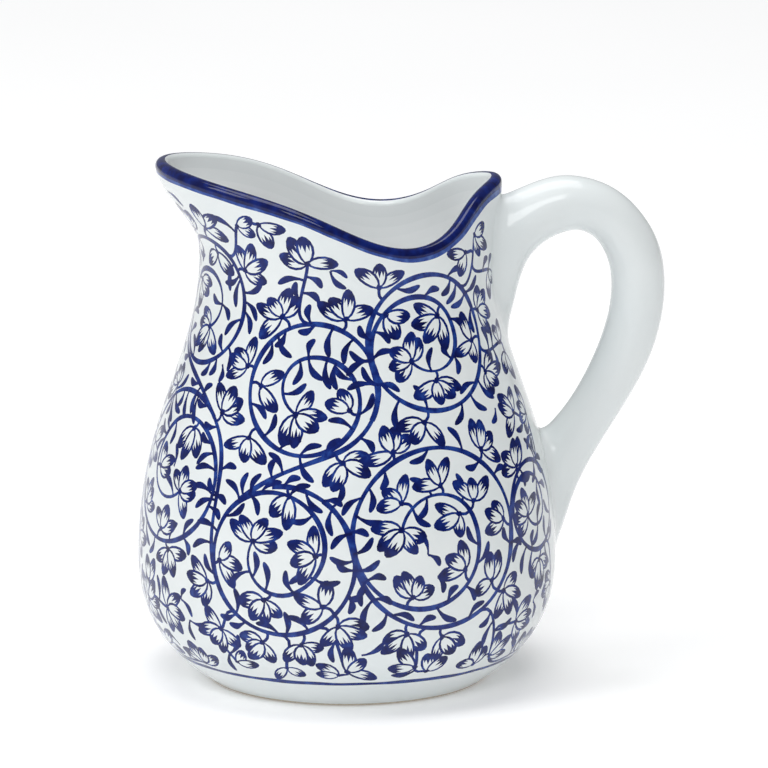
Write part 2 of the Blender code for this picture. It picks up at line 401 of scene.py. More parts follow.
class Sheet:
    """The flat sheet: what is drawn on it so far, and how far each place is from any of it."""

    def __init__(self, seed):
        self.rng = np.random.default_rng(seed)
        self.low = np.array([flat_u(0.0), 0.0])
        self.size = np.array([2 * pi * BELLY_RADIUS, SHEET_HEIGHT])
        self.cells = np.ceil(self.size / CELL).astype(int) + 1
        self.gap = np.full(self.cells, PLENTY)
        self.grid_u = self.low[0] + CELL * np.arange(self.cells[0])
        self.grid_v = self.low[1] + CELL * np.arange(self.cells[1])
        self.chains = []           # (points, widths, ink)
        self.motifs = {}           # kind -> list of (u, v, turn, size, order, ink)
        self.order = 1
        self.stems = []            # (u, v, direction) along the vines, where sprigs may grow

    def occupy(self, points):
        """Notes that these points are drawn on."""
        points = np.asarray(points, float)
        lo = np.floor((points.min(0) - self.low) / CELL).astype(int) - REACH
        hi = np.ceil((points.max(0) - self.low) / CELL).astype(int) + REACH
        (i0, j0), (i1, j1) = np.clip(lo, 0, self.cells), np.clip(hi, 0, self.cells)
        u, v = self.grid_u[i0:i1], self.grid_v[j0:j1]
        near = np.full((len(u), len(v)), PLENTY)
        for p in points:
            near = np.minimum(near, np.hypot(u[:, None] - p[0], v[None, :] - p[1]))
        self.gap[i0:i1, j0:j1] = np.minimum(self.gap[i0:i1, j0:j1], near / growth(v)[None, :])

    def room(self, points):
        """Real distance from each point to what is drawn; negative off the painted area."""
        points = np.asarray(points, float)
        where = (points - self.low) / CELL
        base = np.clip(np.floor(where).astype(int), 0, self.cells - 2)
        fu, fv = np.clip(where - base, 0, 1).T
        i, j = base.T
        g = self.gap
        room = ((g[i, j] * (1 - fu) + g[i + 1, j] * fu) * (1 - fv)
                + (g[i, j + 1] * (1 - fu) + g[i + 1, j + 1] * fu) * fv)
        return np.where(self.inside(points), room, -1.0)

    def inside(self, points):
        angle, height = wall_angle(points[:, 0]), wall_z(points[:, 1])
        top = band_top(angle) - BELOW_BAND - BELOW_SPOUT * (0.5 - 0.5 * np.cos(angle)) ** 3
        return (angle > UNPAINTED) & (angle < 2 * pi - UNPAINTED) & (height > LOWEST_MOTIF) & (height < top)

    def chain(self, points, width, ink, grows=True):
        """Draws a stroke along the points, as far as it is inside; sprigs may grow from it."""
        points = np.asarray(points, float)
        keep = self.inside(points)
        if keep.sum() < 3:
            return
        first, last = np.argmax(keep), len(keep) - np.argmax(keep[::-1])
        points = points[first:last]
        widths = np.broadcast_to(np.asarray(width, float), len(keep))[first:last] * growth(points[:, 1])
        self.chains.append((points, widths, ink))
        self.occupy(points)
        if grows:
            steps = np.gradient(points, axis=0)
            self.stems += [(p[0], p[1], atan2(s[1], s[0])) for p, s in zip(points, steps)]

    def motif(self, kind, u, v, turn, size, ink):
        self.motifs.setdefault(kind, []).append((u, v, turn, size * float(growth(v)), self.order, ink))
        self.order += 1


def even(points, spacing):
    """The same path with its points this far apart."""
    points = np.asarray(points, float)
    along = np.concatenate([[0], np.cumsum(np.hypot(*np.diff(points, axis=0).T))])
    count = max(int(ceil(along[-1] / spacing)), 3)
    at = np.linspace(0, along[-1], count + 1)
    return np.stack([np.interp(at, along, points[:, 0]), np.interp(at, along, points[:, 1])], -1)


def scroll_path(centre, radius, way, start):
    """Once round, then inwards and half round again."""
    t = np.linspace(0, 1, 200)
    turn = start + way * 2 * pi * 1.86 * t
    r = radius * (1 - 0.54 * smoothstep(0.46, 0.78, t))
    return np.stack([centre[0] + r * np.cos(turn), centre[1] + r * np.sin(turn)], -1)


def stem_between(parent, centre, radius, way):
    """A smooth stem from the parent scroll to this one, and the angle at which it arrives."""
    from_centre, from_radius, from_way = parent
    towards = atan2(*(centre - from_centre)[::-1])
    leave = towards - from_way * radians(48)
    arrive = towards + pi + way * radians(30)
    out = from_centre + from_radius * np.array([cos(leave), sin(leave)])
    into = centre + radius * np.array([cos(arrive), sin(arrive)])
    pull = 0.42 * np.linalg.norm(into - out)
    stem = bezier((out, out + pull * from_way * np.array([-sin(leave), cos(leave)]),
                   into - pull * way * np.array([-sin(arrive), cos(arrive)]), into), np.linspace(0, 1, 30))
    return stem, arrive


def draw_scrolls(sheet):
    made = []
    for degrees, v, radius, way, parent in SCROLLS:
        centre = np.array([radians(degrees) * BELLY_RADIUS, v])
        if parent is None:
            path = scroll_path(centre, radius, way, radians(100))
        else:
            stem, start = stem_between(made[parent], centre, radius, way)
            path = np.vstack([stem[:-1], scroll_path(centre, radius, way, start)])
        made.append((centre, radius, way))
        path = even(path, SPACING)
        width = VINE_WIDTH * (1 + 0.16 * np.sin(np.arange(len(path)) * 0.37 + degrees))
        width *= np.clip((len(path) - np.arange(len(path))) / 14, 0.6, 1)
        sheet.chain(path, width, 0.74 + 0.1 * sheet.rng.random())
        heading = path[-1] - path[-3]
        sprig(sheet, path[-1], atan2(heading[1], heading[0]), 5, 0.98, 0.30)


FAN = {2: 46, 3: 52, 4: 46, 5: 42}       # degrees between petals, by how many a sprig has


def turned(root, turn, x, y):
    return np.stack([root[0] + x * cos(turn) - y * sin(turn), root[1] + x * sin(turn) + y * cos(turn)], -1)


def petal_samples(kind, root, turn, size):
    """A few points of a petal, at which to ask for room."""
    length, half_width, _ = PETALS[kind]
    along = np.array([0.45, 0.45, 0.62, 0.62, 0.8, 0.8, 0.98])
    side = np.array([0.85, -0.85, 0.9, -0.9, 0.7, -0.7, 0.0])
    return turned(root, turn, along * length * size, side * half_width * size)


def sprig(sheet, root, heading, count, scale, clearance):
    """Petals fanned out from one point. True if they found room."""
    k = float(growth(root[1])) * scale
    fan = radians(FAN[count])
    turns = [heading + (i - (count - 1) / 2) * fan for i in range(count)]
    kinds = [int(x) for x in sheet.rng.integers(0, len(PETALS), count)]
    sizes = [k * (0.92 + 0.16 * x) for x in sheet.rng.random(count)]
    samples = [petal_samples(a, root, b, c) for a, b, c in zip(kinds, turns, sizes)]
    fits = [sheet.room(p).min() > clearance for p in samples]
    if sum(fits) < max(count - 1, 2) if count > 2 else not all(fits):
        return False
    chosen = [i for i in range(count) if fits[i]]
    for i in sorted(chosen, key=lambda n: -abs(n - (count - 1) / 2)):
        sheet.motif("petal_%d" % kinds[i], root[0], root[1], turns[i], sizes[i] / float(growth(root[1])),
                    0.86 + 0.14 * sheet.rng.random())
    for i in chosen:
        sheet.occupy(np.vstack([samples[i], root + (samples[i] - root) * 0.5]))
    sheet.motif("knot", root[0], root[1], heading, scale, 0.95)
    return True


def grow_sprigs(sheet, counts, step, clearance):
    """Sprigs on short stems, on both sides of every vine, wherever there is room."""
    stems = sheet.stems[::step]
    for index in sheet.rng.permutation(len(stems)):
        u, v, along = stems[index]
        k = float(growth(v))
        for side in sheet.rng.permutation([1.0, -1.0]):
            lean = side * radians(58 + 26 * sheet.rng.random())
            heading = along + lean
            reach = (1.7 + 1.2 * sheet.rng.random()) * k
            root = np.array([u + reach * cos(heading), v + reach * sin(heading)])
            for count in counts:
                if sprig(sheet, root, heading, count, 0.94 + 0.1 * sheet.rng.random(), clearance):
                    start = np.array([u, v])
                    middle = (start + root) / 2 - 0.25 * reach * np.array([cos(along), sin(along)])
                    line = bezier((start, middle, middle, root), np.linspace(0, 1, 5))
                    sheet.chain(line, STEM_WIDTH, STEM_INK, grows=False)
                    break


def fill_gaps(sheet, smallest):
    """Side shoots into the widest empty places, each with a sprig at its end."""
    grid = np.stack(np.meshgrid(sheet.grid_u, sheet.grid_v, indexing="ij"), -1)
    outside = ~sheet.inside(grid.reshape(-1, 2)).reshape(sheet.gap.shape)
    for _ in range(MOST_SHOOTS):
        room = np.where(outside, 0, sheet.gap)
        i, j = np.unravel_index(np.argmax(room), room.shape)
        if room[i, j] < smallest:
            return
        goal = np.array([sheet.grid_u[i], sheet.grid_v[j]])
        stems = np.array(sheet.stems)
        offset = stems[:, :2] - goal
        nearest = int(np.argmin(np.hypot(offset[:, 0], offset[:, 1])))
        start, along = stems[nearest, :2], stems[nearest, 2]
        line = goal - start
        distance = float(np.hypot(*line))
        forward = np.array([cos(along), sin(along)])
        forward *= 1 if line @ forward >= 0 else -1
        k = float(growth(goal[1]))
        end = goal - line / distance * min(3.2 * k, distance * 0.6)
        path = bezier((start, start + forward * distance * 0.35, end - line * 0.2, end),
                      np.linspace(0, 1, 12))
        heading = atan2(line[1], line[0])
        placed = any(sprig(sheet, end, heading + twist, count, scale, 0.45)
                     for count, scale in ((5, 1.0), (4, 0.95), (3, 0.95), (3, 0.8), (2, 0.8))
                     for twist in (0.0, 0.5, -0.5, 1.2, -1.2))
        if placed:
            sheet.chain(even(path, SPACING), SHOOT_WIDTH, STEM_INK)
        sheet.occupy(goal[None, :])


def tendril_samples(kind, root, turn, size):
    length, head, curl = TENDRILS[kind]
    x = np.array([0.45, 0.7, 0.7, 0.92, 0.92, 1.0]) * length
    y = curl * x * x + np.array([0, 1, -1, 1, -1, 0]) * head * 0.9
    return turned(root, turn, x * size, y * size)


def tendril(sheet, root, turn, clearance, scale=1.0):
    """One tendril. True if it found room."""
    kind = int(sheet.rng.integers(0, len(TENDRILS)))
    size = float(growth(root[1])) * scale
    samples = tendril_samples(kind, root, turn, size)
    if sheet.room(samples).min() < clearance:
        return False
    sheet.motif("tendril_%d" % kind, root[0], root[1], turn, scale, 0.84 + 0.14 * sheet.rng.random())
    sheet.occupy(np.vstack([samples, samples * 0.5 + root * 0.5]))
    return True


def grow_tendrils(sheet):
    """Tendrils along every vine, and loose ones in the gaps between sprigs."""
    for index in sheet.rng.permutation(len(sheet.stems)):
        u, v, along = sheet.stems[index]
        for side in (1.0, -1.0):
            tendril(sheet, np.array([u, v]), along + side * radians(50 + 40 * sheet.rng.random()), 0.5)
    for _ in range(LOOSE_TRIES):
        root = sheet.low + sheet.rng.random(2) * sheet.size
        if sheet.room(root[None, :])[0] > 0.75:
            turn = 2 * pi * sheet.rng.random()
            if tendril(sheet, root, turn, 0.55, 0.9):
                tendril(sheet, root, turn + radians(95), 0.35, 0.75)


def compose():
    """Scrolls first, then full sprigs, side shoots into the gaps, smaller sprigs, and the tendrils."""
    sheet = Sheet(seed=23)
    draw_scrolls(sheet)
    grow_sprigs(sheet, (5, 4), 6, 0.95)
    fill_gaps(sheet, 4.6)
    grow_sprigs(sheet, (4, 3), 3, 0.85)
    fill_gaps(sheet, 3.9)
    grow_tendrils(sheet)
    return sheet


LAYER_INK = {OUTLINED: 0.9, RESERVED: 0.0, TIPPED: 1.0}
VINE_RANK, TENDRIL_RANK, MOTIF_RANK = 1.0, 1.5, 10.0
RANKS_EACH = 4             # ranks that one motif takes up, for its layers


def vine_shapes(sheet, glaze):
    points, edges, widths, inks = [], [], [], []
    for path, width, ink in sheet.chains:
        edges += [(len(points) + i, len(points) + i + 1) for i in range(len(path) - 1)]
        points += [tuple(p) for p in path]
        widths += list(width)
        inks += [ink] * len(path)
    vines = evaluated("vines", point_mesh("vines", points, edges, width=widths, ink=inks),
                      brush_line_tree(), material=glaze)
    ink = stored(vines, "ink")
    return [(outline, VINE_RANK, ink[corner]) for outline, corner in outlines(vines)]


def painted_faces(sheet, glaze):
    """Every painted shape as (outline in u and v, rank, ink); a higher rank covers a lower one."""
    shapes = vine_shapes(sheet, glaze)
    drawings = {"petal_%d" % i: petal_faces(*petal) for i, petal in enumerate(PETALS)}
    drawings.update({"tendril_%d" % i: tendril_faces(*shape) for i, shape in enumerate(TENDRILS)})
    drawings["knot"] = knot_faces()
    tree = motif_tree()
    for kind, faces in drawings.items():
        places = sheet.motifs.get(kind, [])
        if not places:
            continue
        u, v, turn, size, order, ink = zip(*places)
        stamp = motif_object(kind, faces)
        points = point_mesh(kind + "_points", zip(u, v), turn=turn, size=size, order=order, ink=ink)
        mesh = evaluated(kind + "_all", points, tree, motif=stamp, material=glaze)
        bpy.data.objects.remove(stamp)
        orders, inks = stored(mesh, "order"), stored(mesh, "ink")
        for (outline, corner), layer in zip(outlines(mesh), stored(mesh, "layer")):
            rank = MOTIF_RANK + RANKS_EACH * orders[corner] + layer
            if kind.startswith("tendril"):
                rank = TENDRIL_RANK
            shapes.append((outline, rank, LAYER_INK[round(layer)] * inks[corner]))
    return shapes


# ---- meshes

def place(name, points, faces, normals, **paint):
    """A finished mesh in metres in the frame, with its paint stored on its faces.

    It is smooth, with the given normals, or the mesh's own where they are not a number.
    """
    points = (np.asarray(points, float) + (AXIS_X, 0.0, 0.0)) * MM
    mesh = bpy.data.meshes.new(name)
    mesh.from_pydata(points.tolist(), [], [tuple(int(i) for i in face) for face in faces])
    store(mesh, "FACE", paint)
    mesh.validate()
    mesh.shade_smooth()
    smooth = np.zeros(len(mesh.vertices) * 3, np.float32)
    mesh.vertex_normals.foreach_get("vector", smooth)
    smooth = smooth.reshape(-1, 3)
    given = np.isfinite(normals[:, 0])
    smooth[given] = normals[given]
    mesh.normals_split_custom_set_from_vertices(smooth.tolist())
    obj = bpy.data.objects.new(name, mesh)
    bpy.context.scene.collection.objects.link(obj)
    return obj


def inside_outline(points, outline):
    """Which of the points lie inside the closed outline."""
    x, y = points[:, 0:1], points[:, 1:2]
    x0, y0 = outline[:, 0], outline[:, 1]
    x1, y1 = np.roll(x0, -1), np.roll(y0, -1)
    spans = (y0 > y) != (y1 > y)
    rise = np.where(y1 == y0, 1.0, y1 - y0)
    return (spans & (x < x0 + (y - y0) * (x1 - x0) / rise)).sum(1) % 2 == 1


def inks_at(points, shapes):
    """The ink at each point: that of the highest-ranking shape over it."""
    cell = 1.5
    low = points.min(0)
    index = np.floor((points - low) / cell).astype(int)
    tall = index[:, 1].max() + 1
    key = index[:, 0] * tall + index[:, 1]
    order = np.argsort(key, kind="stable")
    starts = np.searchsorted(key[order], np.arange((index[:, 0].max() + 1) * tall + 1))
    best, ink = np.zeros(len(points)), np.zeros(len(points))
    for outline, rank, amount in shapes:
        (i0, j0), (i1, j1) = (np.floor((edge(outline, 0) - low) / cell).astype(int)
                              for edge in (np.min, np.max))
        i0, j0 = max(i0, 0), max(j0, 0)
        i1, j1 = min(i1, index[:, 0].max()), min(j1, tall - 1)
        near = [order[starts[i * tall + j0]:starts[i * tall + j1 + 1]] for i in range(i0, i1 + 1)]
        near = np.concatenate(near) if near else np.zeros(0, int)
        near = near[best[near] < rank]
        hit = near[inside_outline(points[near], outline)]
        best[hit], ink[hit] = rank, amount
    return ink


def wavy(level, *waves):
    """A brushed line's level all round the jug: waves of (size, how many, phase) about it."""
    return sum((size * np.sin(count * ROUND + phase) for size, count, phase in waves), level)


def brushed_bands():
    """The edges, in v, of the rim band, of its paler fringe and of the line above the foot."""
    spout = 0.5 * (1 - np.cos(ROUND))
    handle_side = (1 - spout) ** 2
    wave = wavy(0.0, (0.30, 5, 1), (0.22, 11, 2), (0.16, 23, 0))
    top = band_top(ROUND)
    bands = {"top": flat_v(top),
             "fringe": flat_v(top - 0.42 - 0.60 * spout ** 3 - 1.4 * handle_side - 0.28 * wave),
             "band": flat_v(top - 0.10 - 0.20 * spout ** 3 - 0.5 * handle_side - 0.10 * wave),
             "line_low": flat_v(wavy(FOOT_LINE - 0.35, (0.06, 7, 0), (0.04, 19, 0))),
             "line_high": flat_v(wavy(FOOT_LINE + 0.45, (0.08, 9, 1), (0.05, 26, 0)))}
    for row in bands.values():
        row[-1] = row[0]
    return bands


def paint_wall(shapes):
    """Triangulates the unrolled wall along every painted edge, and gives each triangle its ink."""
    u, low_v, bands = flat_u(ROUND), flat_v(PAINT_LOW), brushed_bands()
    top_v = bands.pop("top")
    verts, edges = [], []

    def draw(points, closed):
        """Adds a line through these points; gives back their numbers."""
        numbers = list(range(len(verts), len(verts) + len(points)))
        verts.extend(points)
        edges.extend(zip(numbers, numbers[1:] + numbers[:1] if closed else numbers[1:]))
        return numbers

    starts = [row[0] for row in bands.values()]
    levels = np.unique(np.round(np.append(starts, np.arange(low_v + 2.4, top_v[0] - 1.0, 2.4)), 5))
    levels = [x for x in levels if low_v < x < top_v[0] - 1e-3]
    frame_line = draw([(a, low_v) for a in u] + [(u[-1], x) for x in levels]
                      + list(zip(u[::-1], top_v[::-1])) + [(u[0], x) for x in levels[::-1]], True)
    for row in bands.values():
        draw(list(zip(u, row)), False)
    for outline, _, _ in shapes:
        draw([tuple(point) for point in outline], True)
    across = 120               # loose points in between keep the triangles short
    for j, v in enumerate(np.arange(low_v + 1.2, top_v.max(), 2.2)):
        a = u[0] + (u[-1] - u[0]) * (np.arange(1, across) + 0.5 * (j % 2)) / across
        keep = (v < np.interp(a, u, top_v) - 0.9) & (a < u[-1] - 0.8)
        verts += [(x, v) for x in a[keep]]

    out_verts, _, out_faces, origins, _, _ = delaunay_2d_cdt(
        [Vector((float(x), float(y))) for x, y in verts], edges, [], 0, 1e-4, True)
    where = {origin: index for index, row in enumerate(origins) for origin in row}
    frame_line = [where[i] for i in frame_line]
    low, right, top, left = np.split(frame_line, np.cumsum([len(u), len(levels), len(u)]))
    flat, triangles = np.array([tuple(point) for point in out_verts]), np.array(out_faces)
    middle = flat[triangles].mean(1)
    kept = (middle[:, 1] > low_v) & (middle[:, 1] < np.interp(middle[:, 0], u, top_v))
    triangles, middle = triangles[kept], middle[kept]
    inks = inks_at(middle, shapes)
    for under, over, ink in ((bands["fringe"], top_v, 0.62), (bands["band"], top_v, 1.0),
                             (bands["line_low"], bands["line_high"], 0.80)):
        between = ((middle[:, 1] > np.interp(middle[:, 0], u, under))
                   & (middle[:, 1] < np.interp(middle[:, 0], u, over)))
        inks[between] = ink
    # the two sides of the unrolled wall are the same line on the jug
    same = np.arange(len(flat))
    same[[low[-1], top[0], *right]] = [low[0], top[-1], *left[::-1]]
    return flat, same[triangles], list(inks), same[low[:-1]].tolist(), same[top[:0:-1]].tolist()


def ring(radius, height):
    """A level row of points round the axis."""
    turn = ROUND[:-1]
    radius = np.broadcast_to(radius, turn.shape)
    return np.stack([radius * np.cos(turn), radius * np.sin(turn), np.full(turn.shape, float(height))], -1)


FOOT_ROWS = range(6, 12)       # the unglazed rows under the foot ring and on its edge


def rows_below():
    """The recess, the foot ring and the wall up to the painting, from the middle outwards."""
    rows = [ring(radius, RECESS_DEPTH) for radius in (6.0, 13.0, 20.0, RING_INNER - 2.2)]
    for a in np.radians((22, 45, 68, 90)):
        radius = RING_INNER - 1.4 + 1.1 * sin(a) - 0.8 * (1 - sin(a))
        rows.append(ring(radius, RECESS_DEPTH * cos(a) + 0.12 * sin(a)))
    rows += [ring(RING_INNER, 0.03), ring(RING_INNER + 0.25, 0.0), ring(RING_OUTER - 0.25, 0.0),
             ring(RING_OUTER + 0.12, 0.06), ring(RING_OUTER + EDGE, EDGE)]
    return rows + [on_wall(ROUND[:-1], z) for z in np.linspace(EDGE, PAINT_LOW, 9)[1:-1]]


def lip_rows():
    """Over the rounded lip, from the top of the painting to the inside."""
    turn = ROUND[:-1]
    outside = on_wall(turn, band_top(turn))
    inside = inside_wall(turn, band_top(turn), np.full(turn.shape, LIP))
    centre, across = (outside + inside) / 2, (outside - inside) / 2
    upward = np.cross(np.stack([-np.sin(turn), np.cos(turn), 0 * turn], -1), across)
    upward *= np.sign(upward[:, 2:3])
    return [centre + across * cos(a) + upward * sin(a) for a in np.linspace(0, pi, 13)[1:-1]] + [inside]


def rows_inside():
    """Down the inside of the wall, round the corner and over the floor."""
    turn, rows = ROUND[:-1], []
    for t in np.linspace(0, 1, 38)[1:]:
        height = band_top(turn) + (FLOOR_CURVE_TOP - band_top(turn)) * t
        depth = LIP + (WALL - LIP) * smoothstep(0, 15, band_top(turn) - height)
        rows.append(inside_wall(turn, height, depth))
    reach = np.hypot(rows[-1][:, 0], rows[-1][:, 1])
    for a in np.radians(np.linspace(0, 90, 13)[1:]):
        height = FLOOR_CURVE_TOP - (FLOOR_CURVE_TOP - FLOOR_HEIGHT) * sin(a)
        rows.append(ring(reach - FLOOR_CURVE * (1 - cos(a)), height))
    return rows + [ring(reach * share, FLOOR_HEIGHT) for share in (0.62, 0.4, 0.2)]


def make_body(glaze):
    flat, triangles, inks, low_edge, top_edge = paint_wall(painted_faces(compose(), glaze))
    angle, height = wall_angle(flat[:, 0]), wall_z(flat[:, 1])
    points, normals = list(on_wall(angle, height)), list(wall_normal(angle, height))
    faces = triangles.tolist()
    # the faces carry their ink, the bare foot ring, and a share of painted light that brightens the inside
    paint = {"ink": inks, "bare": [0.0] * len(faces), "inner": [0.0] * len(faces)}

    def add_row(row):
        first = len(points)
        points.extend(row)
        normals.extend([(np.nan,) * 3] * len(row))
        return list(range(first, first + len(row)))

    def add_faces(new, **given):
        faces.extend(new)
        for label, values in paint.items():
            values += [given.get(label, 0.0)] * len(new)

    def join(lower, upper, **given):
        add_faces(list(zip(lower, lower[1:] + lower[:1], upper[1:] + upper[:1], upper)), **given)

    base = add_row([(0.0, 0.0, RECESS_DEPTH)])[0]
    rows = [add_row(row) for row in rows_below()]
    add_faces([(b, a, base) for a, b in zip(rows[0], rows[0][1:] + rows[0][:1])])
    for i, (lower, upper) in enumerate(zip(rows, rows[1:] + [low_edge])):
        join(lower, upper, bare=float(i in FOOT_ROWS))

    lip = lip_rows()
    rows = [top_edge] + [add_row(row) for row in lip + rows_inside()]
    # painted light: the inside and the lip's inner half are painted brighter, fading in over the lip, and the
    # inside floor fully so
    for i, (lower, upper) in enumerate(zip(rows, rows[1:])):
        join(lower, upper, ink=float(i < len(lip) * 0.60), inner=smoothstep(len(lip) - 3, len(lip) + 4, i))
    middle = add_row([(0.0, 0.0, FLOOR_HEIGHT)])[0]
    add_faces([(a, b, middle) for a, b in zip(rows[-1], rows[-1][1:] + rows[-1][:1])], inner=1.0)

    used = np.unique(np.concatenate([np.array(face) for face in faces]))
    renumber = np.full(len(points), -1)
    renumber[used] = np.arange(len(used))
    faces = [tuple(renumber[i] for i in face) for face in faces]
    return place("jug_body_porcelain", np.array(points)[used], faces, np.array(normals)[used], **paint)


# ---- the handle

# Seen from the side: (outer x, outer z), (inner x, inner z), half its width. The first and last
# stations lie inside the body's wall.
HANDLE_STATIONS = (
    (26.5, 96.6, 31.0, 65.0, 7.6), (32.4, 99.1, 34.0, 74.0, 6.6), (37.4, 101.2, 36.0, 84.6, 5.8),
    (42.0, 102.7, 41.0, 89.8, 5.5), (46.6, 103.1, 46.6, 91.9, 5.5), (53.2, 101.5, 49.6, 91.2, 5.5),
    (59.0, 97.6, 52.0, 89.6, 5.5), (63.9, 91.0, 54.0, 86.2, 5.5), (66.0, 84.0, 55.1, 82.0, 5.5),
    (66.0, 75.0, 55.0, 76.2, 5.5), (63.6, 65.6, 53.4, 69.6, 5.5), (59.4, 57.4, 50.3, 62.2, 5.5),
    (54.2, 49.2, 46.0, 54.8, 5.5), (50.0, 42.4, 41.4, 49.8, 5.7), (47.0, 36.0, 38.2, 46.6, 6.3),
    (45.2, 30.0, 35.8, 41.0, 7.0), (42.8, 24.0, 34.6, 38.0, 7.6),
)
HANDLE_SIDES = 56
ROD_ROWS = 150
MELT_BACK = 4.0            # the joints start this far up the rod ...
MELT_OUT = 3.2             # ... and run this far out over the wall, or less ...
BAND_CLEARANCE = 2.9       # ... where they would come nearer than this to the rim's turn
LEAST_MELT = 0.8
MELT_ROWS = 10
SUNK = 0.35                # how deep a joint's edge is tucked into the wall


def catmull_rom(values, position):
    values = np.asarray(values, float)
    last = len(values) - 1
    k = np.clip(position.astype(int), 0, last - 1)
    t = (position - k)[:, None]
    p0, p1, p2, p3 = (values[np.clip(k + j, 0, last)] for j in (-1, 0, 1, 2))
    return 0.5 * (2 * p1 + (p2 - p0) * t + (2 * p0 - 5 * p1 + 4 * p2 - p3) * t * t
                  + (3 * p1 - p0 - 3 * p2 + p3) * t ** 3)


def smoothed(values, reach, times):
    """Takes small unevenness out of rows of numbers; the ends stay where they are."""
    width = 2 * reach + 1
    for _ in range(times):
        before, after = 2 * values[:1] - values[reach:0:-1], 2 * values[-1:] - values[-2:-reach - 2:-1]
        sums = np.cumsum(np.vstack([np.zeros((1, values.shape[1])), before, values, after]), axis=0)
        values = (sums[width:] - sums[:-width]) / width
    return values


def handle_lines(rows=600):
    """Lines along the handle, one for each side of its oval section: rows x sides x 3."""
    position = np.linspace(0, len(HANDLE_STATIONS) - 1, rows)
    xo, zo, xi, zi, width = smoothed(catmull_rom(HANDLE_STATIONS, position), 16, 3).T[..., None]
    turn = np.linspace(0, 2 * pi, HANDLE_SIDES + 1)[:-1][None, :]
    x = (xo + xi) / 2 + (xo - xi) / 2 * np.cos(turn)
    z = (zo + zi) / 2 + (zo - zi) / 2 * np.cos(turn)
    return np.stack([x, width * np.sin(turn), z], -1)


def melt(foot, rise):
    """A joint's rows from the rod out over the wall, its tucked edge, and the wall's normals there."""
    angle, height = np.arctan2(foot[:, 1], foot[:, 0]), foot[:, 2]
    normal = wall_normal(angle, height)
    away = foot - foot.mean(0)
    away = unit(away - normal * np.sum(away * normal, -1, keepdims=True))
    climb = away[:, 2]
    limit = band_top(angle) - BAND_CLEARANCE - height
    reach = np.where(climb > 0.05, np.minimum(MELT_OUT, limit / np.maximum(climb, 0.05)), MELT_OUT)
    out = foot + away * np.maximum(reach, LEAST_MELT)[:, None]
    edge_place = np.arctan2(out[:, 1], out[:, 0]), out[:, 2]
    edge, edge_normal = on_wall(*edge_place), wall_normal(*edge_place)
    t = np.linspace(0, 1, MELT_ROWS + 1)[1:, None, None]
    rows = (1 - t) ** 2 * rise + 2 * t * (1 - t) * foot + t * t * edge
    return rows, edge + (edge - foot) * 0.12 - edge_normal * SUNK, edge_normal, foot.mean(0)


def handle_grid():
    """The rod's rows, and the joints at its upper and lower ends."""
    lines = handle_lines()
    half = len(lines) // 2
    radius = np.hypot(lines[..., 0], lines[..., 1])
    angle = np.arctan2(lines[..., 1], lines[..., 0])
    proud = radius - outer_radius(angle, np.minimum(lines[..., 2], RIM_LEVEL))
    upper, lower, spans = [], [], []
    for line, out in zip(lines.transpose(1, 0, 2), proud.T):
        along = np.concatenate([[0], np.cumsum(np.linalg.norm(np.diff(line, axis=0), axis=1))])
        first = np.max(np.nonzero(out[:half] < 0)[0])
        last = half + np.min(np.nonzero(out[half:] < 0)[0])

        def leaves_wall(a, b):
            """How far along this line comes out of the wall, between two of its points."""
            return along[a] + (along[b] - along[a]) * out[a] / (out[a] - out[b])

        def at(distance):
            return np.stack([np.interp(distance, along, line[:, i]) for i in range(3)], -1)

        start, end = leaves_wall(first, first + 1), leaves_wall(last - 1, last)
        upper.append((at(start), at(start + MELT_BACK)))
        lower.append((at(end), at(end - MELT_BACK)))
        spans.append(at(np.linspace(start + MELT_BACK, end - MELT_BACK, ROD_ROWS)))
    ends = [melt(*np.array(joint).transpose(1, 0, 2)) for joint in (upper, lower)]
    return np.array(spans).transpose(1, 0, 2), *ends


def tube(name, rows, normals, caps):
    """A closed skin through rows of points, with a point in the middle of each end."""
    sides = rows.shape[1]
    points = np.vstack([rows.reshape(-1, 3), np.array(caps)])
    given = np.vstack([normals.reshape(-1, 3), np.full((2, 3), np.nan)])
    numbers = np.arange(len(rows) * sides).reshape(-1, sides)
    beside = np.roll(numbers, -1, axis=1)
    faces = np.stack([numbers[:-1], numbers[1:], beside[1:], beside[:-1]], -1).reshape(-1, 4).tolist()
    first, last = len(points) - 2, len(points) - 1
    for k, n in zip(numbers[0], beside[0]):
        faces.append((k, n, first))
        faces.append((numbers[-1, n], numbers[-1, k], last))
    return place(name, points, faces, given)


